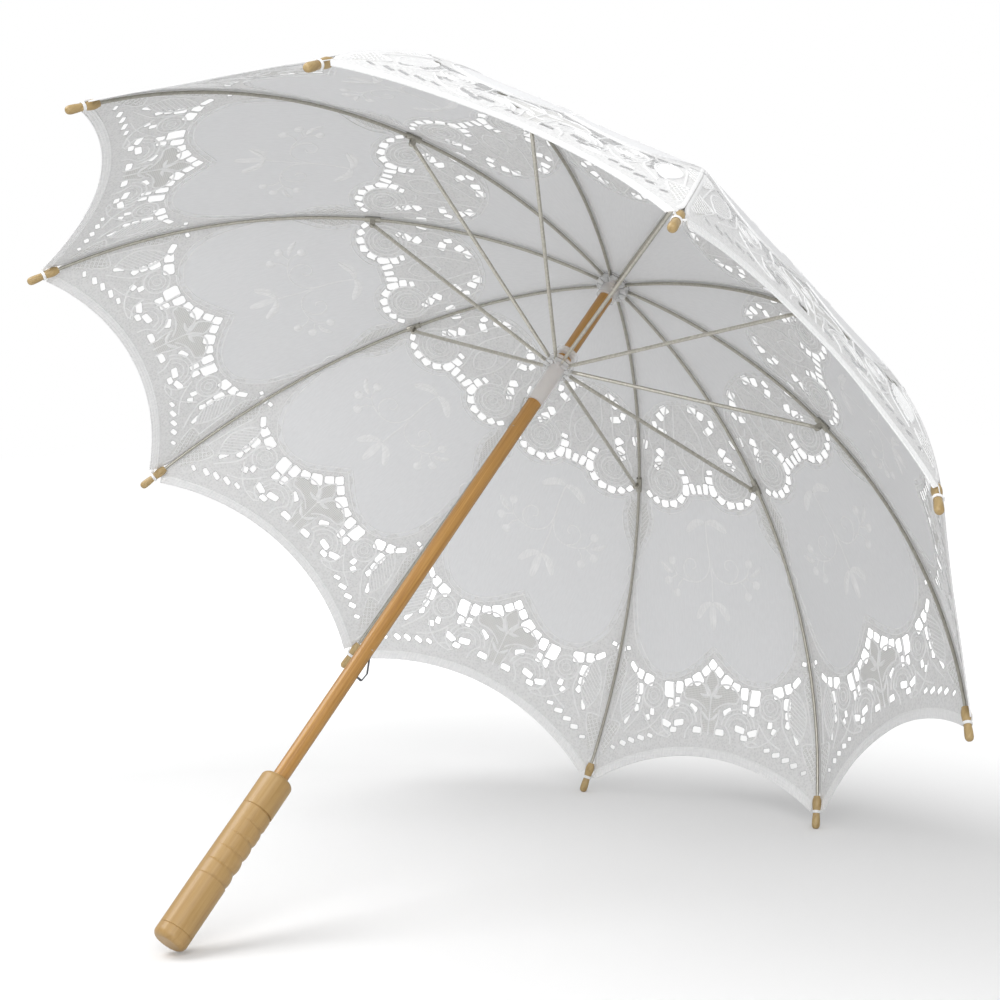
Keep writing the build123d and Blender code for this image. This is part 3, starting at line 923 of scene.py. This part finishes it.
class Nodes:
    """A short way to make and join the nodes of one material."""

    def __init__(self, name):
        self.material = bpy.data.materials.new(name)
        self.material.use_nodes = True
        self.tree = self.material.node_tree
        self.shader = self.tree.nodes["Principled BSDF"]

    def node(self, kind, **values):
        made = self.tree.nodes.new(kind)
        for key, value in values.items():
            setattr(made, key, value)
        return made

    def join(self, source, out, target, into):
        self.tree.links.new(source.outputs[out], target.inputs[into])

    def set(self, **values):
        for key, value in values.items():
            self.shader.inputs[key.replace("_", " ")].default_value = value

    def placed(self, kind, scale, output="Object"):
        """A texture node whose coordinates are scaled."""
        where = self.node("ShaderNodeTexCoord")
        mapping = self.node("ShaderNodeMapping")
        mapping.inputs["Scale"].default_value = scale
        texture = self.node(kind)
        self.join(where, output, mapping, "Vector")
        self.join(mapping, "Vector", texture, "Vector")
        return texture

    def ramp(self, source, out, stops):
        """A colour ramp over (place, colour) stops."""
        ramp = self.node("ShaderNodeValToRGB")
        band = ramp.color_ramp
        while len(band.elements) < len(stops):
            band.elements.new(0.5)
        for element, (place, colour) in zip(band.elements, stops):
            element.position = place
            element.color = (*colour, 1.0)
        self.join(source, out, ramp, "Fac")
        return ramp

    def bump(self, source, out, strength, distance):
        """A bump from a texture, into the shader's normal."""
        bump = self.node("ShaderNodeBump")
        bump.inputs["Strength"].default_value = strength
        bump.inputs["Distance"].default_value = distance
        self.join(source, out, bump, "Height")
        self.join(bump, "Normal", self.shader, "Normal")
        return bump

    def math(self, how, a, a_out, b, b_out=None):
        """A math node on two sources, or on a source and a number."""
        made = self.node("ShaderNodeMath", operation=how)
        self.join(a, a_out, made, 0)
        if b_out is None:
            made.inputs[1].default_value = b
        else:
            self.join(b, b_out, made, 1)
        return made


def rough_range(nodes, source, out, low, high):
    """Roughness that varies with a texture."""
    spread_out = nodes.node("ShaderNodeMapRange")
    spread_out.inputs["To Min"].default_value = low
    spread_out.inputs["To Max"].default_value = high
    nodes.join(source, out, spread_out, "Value")
    nodes.join(spread_out, "Result", nodes.shader, "Roughness")


def weave(nodes, pitch):
    """Two crossed sets of threads over the flat cloth."""
    along = nodes.placed("ShaderNodeTexWave", (1 / pitch, 1 / pitch, 1), "UV")
    along.bands_direction = "X"
    along.inputs["Scale"].default_value = WAVE_SCALE
    along.inputs["Distortion"].default_value = 0.6
    across = nodes.placed("ShaderNodeTexWave", (1 / pitch, 1 / pitch, 1), "UV")
    across.bands_direction = "Y"
    across.inputs["Scale"].default_value = WAVE_SCALE
    across.inputs["Distortion"].default_value = 0.6
    return nodes.math("MULTIPLY", along, "Fac", across, "Fac")


def cloth_base(name, dark, light):
    """A cotton material with uneven yarn, before its weave is added."""
    nodes = Nodes(name)
    nodes.set(Roughness=0.86, Sheen_Weight=0.18, Sheen_Roughness=0.45, Specular_IOR_Level=0.25)
    slub = nodes.placed("ShaderNodeTexNoise", (150, 700, 1), "UV")
    slub.inputs["Scale"].default_value = 1.0
    slub.inputs["Detail"].default_value = 5.0
    colour = nodes.ramp(slub, "Fac", ((0.3, dark), (0.7, light)))
    nodes.join(colour, "Color", nodes.shader, "Base Color")
    return nodes


def linen_material():
    """Plain woven linen."""
    nodes = cloth_base("plain_linen", (0.735, 0.74, 0.75), (0.77, 0.775, 0.785))
    nodes.bump(weave(nodes, LINEN_PITCH), "Value", 0.25, 0.0002)
    return nodes.material


def net_material():
    """The lace's closely worked ground, darker than the linen, with painted shade in the pores of the net.
    """
    nodes = Nodes("lace_ground_painted_shade")
    nodes.set(Roughness=0.9, Sheen_Weight=0.15, Specular_IOR_Level=0.2)
    cells = nodes.placed("ShaderNodeTexVoronoi", (560, 560, 1), "UV")
    cells.inputs["Scale"].default_value = 1.0
    # Painted shade: darker at each cell's centre, standing in for the shade in the net's small openings.
    stops = ((0.0, (0.60, 0.605, 0.61)), (0.35, (0.69, 0.69, 0.69)), (0.7, (0.74, 0.74, 0.74)))
    colour = nodes.ramp(cells, "Distance", stops)
    nodes.join(colour, "Color", nodes.shader, "Base Color")
    nodes.bump(cells, "Distance", 0.6, 0.0004)
    return nodes.material


def mesh_material():
    """The open mesh, with painted shade in the small eyes between its threads."""
    nodes = Nodes("open_mesh_painted_shade")
    nodes.set(Roughness=0.92, Specular_IOR_Level=0.2)
    eyes = weave(nodes, MESH_PITCH)
    # Painted shade: the colour darkens where the bump below sinks the surface, standing in for the shade
    # in the mesh's eyes.
    stops = ((0.25, (0.71, 0.71, 0.70)), (0.55, (0.60, 0.60, 0.59)), (0.9, (0.50, 0.495, 0.485)))
    colour = nodes.ramp(eyes, "Value", stops)
    nodes.join(colour, "Color", nodes.shader, "Base Color")
    nodes.bump(eyes, "Value", 0.5, -0.0004)
    return nodes.material


def thread_material():
    """Satin stitch and tape."""
    nodes = cloth_base("white_thread", (0.76, 0.765, 0.77), (0.86, 0.86, 0.86))
    nodes.set(Roughness=0.62, Sheen_Weight=0.3, Specular_IOR_Level=0.4)
    stitches = nodes.placed("ShaderNodeTexNoise", (1500, 1500, 1), "UV")
    stitches.inputs["Scale"].default_value = 1.0
    nodes.bump(stitches, "Fac", 0.35, 0.0003)
    return nodes.material


def shaded_edge_material():
    """The turned-in edge round each hole and the cut walls of the cloth, in darker colours that are
    painted shade.
    """
    # Painted shade: base colours well below the linen's, standing in for the shade along every cut edge.
    nodes = cloth_base("hole_edge_painted_shade", (0.50, 0.505, 0.51), (0.58, 0.58, 0.58))
    stitches = nodes.placed("ShaderNodeTexNoise", (1300, 1300, 1), "UV")
    stitches.inputs["Scale"].default_value = 1.0
    nodes.bump(stitches, "Fac", 0.35, 0.0003)
    return nodes.material


def wood_material(name, dark, middle, light, shine, grain=(55, 55, 3.5)):
    """Clear-coated wood with its grain along the shaft."""
    nodes = Nodes(name)
    nodes.set(Coat_Weight=shine, Coat_Roughness=0.22, Specular_IOR_Level=0.4)
    fibres = nodes.placed("ShaderNodeTexNoise", grain)
    fibres.inputs["Scale"].default_value = 6.0
    fibres.inputs["Detail"].default_value = 9.0
    fibres.inputs["Roughness"].default_value = 0.62
    fibres.inputs["Distortion"].default_value = 0.7
    colour = nodes.ramp(fibres, "Fac", ((0.32, dark), (0.5, middle), (0.68, light)))
    nodes.join(colour, "Color", nodes.shader, "Base Color")
    rough_range(nodes, fibres, "Fac", 0.32, 0.5)
    nodes.bump(fibres, "Fac", 0.12, 0.0004)
    return nodes.material


def metal_material(name, dark, light, low, high):
    """Drawn wire or strip, with fine marks along it and some dulling."""
    nodes = Nodes(name)
    nodes.set(Metallic=1.0)
    marks = nodes.placed("ShaderNodeTexNoise", (700, 700, 120))
    marks.inputs["Scale"].default_value = 1.0
    marks.inputs["Detail"].default_value = 6.0
    colour = nodes.ramp(marks, "Fac", ((0.3, dark), (0.7, light)))
    nodes.join(colour, "Color", nodes.shader, "Base Color")
    rough_range(nodes, marks, "Fac", low, high)
    nodes.bump(marks, "Fac", 0.08, 0.0002)
    return nodes.material


def plastic_material():
    """Clear moulded plastic, slightly cloudy."""
    nodes = Nodes("cloudy_plastic")
    nodes.set(Alpha=0.42, IOR=1.46, Specular_IOR_Level=0.6)
    cloud = nodes.placed("ShaderNodeTexNoise", (120, 120, 120))
    cloud.inputs["Scale"].default_value = 1.0
    cloud.inputs["Detail"].default_value = 3.0
    colour = nodes.ramp(cloud, "Fac", ((0.3, (0.90, 0.91, 0.92)), (0.7, (0.96, 0.965, 0.97))))
    nodes.join(colour, "Color", nodes.shader, "Base Color")
    rough_range(nodes, cloud, "Fac", 0.14, 0.26)
    nodes.bump(cloud, "Fac", 0.05, 0.0005)
    return nodes.material


def floor_material():
    """A white floor that brightens with distance and can't be seen from below."""
    nodes = Nodes("studio_floor")
    nodes.set(Base_Color=(FLOOR_WHITE, FLOOR_WHITE, FLOOR_WHITE, 1.0), Emission_Color=(1.0, 1.0, 1.0, 1.0))
    nodes.set(Roughness=1.0, Specular_IOR_Level=0.0)
    where = nodes.node("ShaderNodeTexCoord")
    distance = nodes.node("ShaderNodeVectorMath", operation="LENGTH")
    nodes.join(where, "Object", distance, 0)
    rise = nodes.node("ShaderNodeMapRange")
    rise.inputs["From Min"].default_value = GLOW_FROM
    rise.inputs["From Max"].default_value = GLOW_TO
    rise.inputs["To Min"].default_value = FLOOR_GLOW_NEAR
    rise.inputs["To Max"].default_value = FLOOR_GLOW_FAR
    nodes.join(distance, "Value", rise, "Value")
    path = nodes.node("ShaderNodeLightPath")
    glow = nodes.math("MULTIPLY", rise, "Result", path, "Is Camera Ray")
    nodes.join(glow, "Value", nodes.shader, "Emission Strength")
    clear = nodes.node("ShaderNodeBsdfTransparent")
    side = nodes.node("ShaderNodeNewGeometry")
    pick = nodes.node("ShaderNodeMixShader")
    out = nodes.tree.nodes["Material Output"]
    nodes.join(side, "Backfacing", pick, "Fac")
    nodes.join(nodes.shader, "BSDF", pick, 1)
    nodes.join(clear, "BSDF", pick, 2)
    nodes.join(pick, "Shader", out, "Surface")
    return nodes.material


def paint_cad_nodes(frame_nodes):
    """Gives each carried-over CAD node its material, by the start of its name."""
    long_grain = (150, 150, 2.2)
    shaft_tones = ((0.31, 0.145, 0.032), (0.41, 0.21, 0.052), (0.49, 0.27, 0.074))
    handle_tones = ((0.345, 0.208, 0.074), (0.385, 0.24, 0.09), (0.42, 0.27, 0.107))
    shaft = wood_material("shaft_wood", *shaft_tones, 0.35, long_grain)
    handle = wood_material("handle_wood", *handle_tones, 0.12)
    tips = wood_material("tip_wood", (0.335, 0.225, 0.093), (0.41, 0.29, 0.13), (0.465, 0.34, 0.165), 0.15)
    wire = metal_material("nickel_wire", (0.46, 0.44, 0.385), (0.62, 0.60, 0.54), 0.24, 0.42)
    rib_wire = metal_material("rib_wire", (0.38, 0.365, 0.32), (0.50, 0.485, 0.43), 0.3, 0.5)
    spring = metal_material("spring_steel", (0.07, 0.07, 0.075), (0.17, 0.17, 0.18), 0.3, 0.5)
    bright = metal_material("bright_nickel", (0.62, 0.61, 0.585), (0.78, 0.77, 0.745), 0.2, 0.38)
    plastic = plastic_material()
    linen = bpy.data.materials["plain_linen"]
    by_start = (
        ("rib_tip", tips),
        ("rib_", rib_wire),
        ("stretcher_", wire),
        ("shaft", shaft),
        ("ferrule", shaft),
        ("handle", handle),
        ("crown_cap", bright),
        ("crown_notch", plastic),
        ("notch_wire", bright),
        ("notch_pin", bright),
        ("stop_ring", plastic),
        ("catch_pins", wire),
        ("top_catch", bright),
        ("bottom_catch", spring),
        ("runner_wire", wire),
        ("runner", plastic),
        ("canopy_gore", linen),
    )
    for name, node in frame_nodes.items():
        material = next(m for start, m in by_start if name.startswith(start))
        if not node.material_slots:
            node.data.materials.append(material)
        for place in node.material_slots:
            place.material = material


# ---------------------------------------------------------------- stage


def make_camera():
    """The camera, low and in front of the open side."""
    data = bpy.data.cameras.new("camera")
    data.lens = CAMERA_LENS
    data.sensor_width = 36.0
    data.clip_start = 0.01
    data.clip_end = 100.0
    camera = bpy.data.objects.new("camera", data)
    bpy.context.scene.collection.objects.link(camera)
    back = -Vector(CAMERA_LOOKS).normalized()
    right = Vector(CAMERA_UP).cross(back).normalized()
    up = back.cross(right)
    turned = Matrix((right, up, back)).transposed().to_4x4()
    camera.matrix_world = Matrix.Translation(CAMERA_AT) @ turned
    bpy.context.scene.camera = camera
    return camera


def make_floor():
    """The floor that the rim and the handle's end rest on."""
    normal = Vector(FLOOR_NORMAL).normalized()
    half = FLOOR_SIDE / 2
    mesh = bpy.data.meshes.new("floor")
    square = [(-half, -half, 0), (half, -half, 0), (half, half, 0), (-half, half, 0)]
    mesh.from_pydata(square, [], [(0, 1, 2, 3)])
    mesh.materials.append(floor_material())
    floor = bpy.data.objects.new("floor", mesh)
    bpy.context.scene.collection.objects.link(floor)
    turned = normal.to_track_quat("Z", "Y").to_matrix().to_4x4()
    floor.matrix_world = Matrix.Translation(normal * FLOOR_OFFSET) @ turned


def make_light(name, direction, distance, side, power, target):
    """A soft round light that faces a target from a direction."""
    data = bpy.data.lights.new(name, "AREA")
    data.shape = "DISK"
    data.size = side
    data.energy = power
    light = bpy.data.objects.new(name, data)
    bpy.context.scene.collection.objects.link(light)
    way = Vector(direction).normalized()
    turned = way.to_track_quat("Z", "Y").to_matrix().to_4x4()
    light.matrix_world = Matrix.Translation(Vector(target) + way * distance) @ turned


def make_world():
    """An even white room: full white where the camera sees it, softer as light."""
    world = bpy.data.worlds.new("studio")
    world.use_nodes = True
    tree = world.node_tree
    light = tree.nodes["Background"]
    light.inputs["Color"].default_value = (1.0, 1.0, 1.0, 1.0)
    light.inputs["Strength"].default_value = ROOM_LIGHT
    seen = tree.nodes.new("ShaderNodeBackground")
    seen.inputs["Color"].default_value = (1.0, 1.0, 1.0, 1.0)
    seen.inputs["Strength"].default_value = 1.0
    path = tree.nodes.new("ShaderNodeLightPath")
    pick = tree.nodes.new("ShaderNodeMixShader")
    tree.links.new(path.outputs["Is Camera Ray"], pick.inputs["Fac"])
    tree.links.new(light.outputs["Background"], pick.inputs[1])
    tree.links.new(seen.outputs["Background"], pick.inputs[2])
    tree.links.new(pick.outputs["Shader"], tree.nodes["World Output"].inputs["Surface"])
    bpy.context.scene.world = world
    bpy.context.scene.view_settings.view_transform = "Standard"


def make_stage():
    """Camera, floor, room and the key light above the floor."""
    camera = make_camera()
    make_floor()
    make_world()
    up = Vector(FLOOR_NORMAL)
    right = camera.matrix_world.to_3x3() @ Vector((1, 0, 0))
    away = Vector(CAMERA_LOOKS)
    make_light("key", up - 0.7 * right + 0.1 * away, KEY_DISTANCE, KEY_SIZE, KEY_POWER, LIT_POINT)
    make_light("fill", 0.45 * up - 0.9 * away, FILL_DISTANCE, FILL_SIZE, FILL_POWER, LIT_POINT)


# ---------------------------------------------------------------- the whole scene

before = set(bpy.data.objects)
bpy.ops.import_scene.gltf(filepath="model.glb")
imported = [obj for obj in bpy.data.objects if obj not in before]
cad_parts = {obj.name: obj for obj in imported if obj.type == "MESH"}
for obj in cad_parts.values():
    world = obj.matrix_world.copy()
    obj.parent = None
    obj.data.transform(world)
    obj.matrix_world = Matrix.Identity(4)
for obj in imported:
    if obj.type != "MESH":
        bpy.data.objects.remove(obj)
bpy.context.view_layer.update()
make_stage()
cloth_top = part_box("canopy_gore_01")[1].z / MM
rib_curve_height = cloth_top - CLOTH_R - CAD_CLOTH_HALF
cloth_materials = (linen_material(), net_material(), mesh_material(), thread_material(), shaded_edge_material())
paint_cad_nodes(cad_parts)
panel_drawing = flat_panel()
panel_faces = facing_out(panel_drawing)
for panel_number in range(1, PANEL_COUNT + 1):
    make_panel(panel_number, panel_drawing, panel_faces, cloth_materials, rib_curve_height)
    make_binding(panel_number, cloth_materials[THREAD])
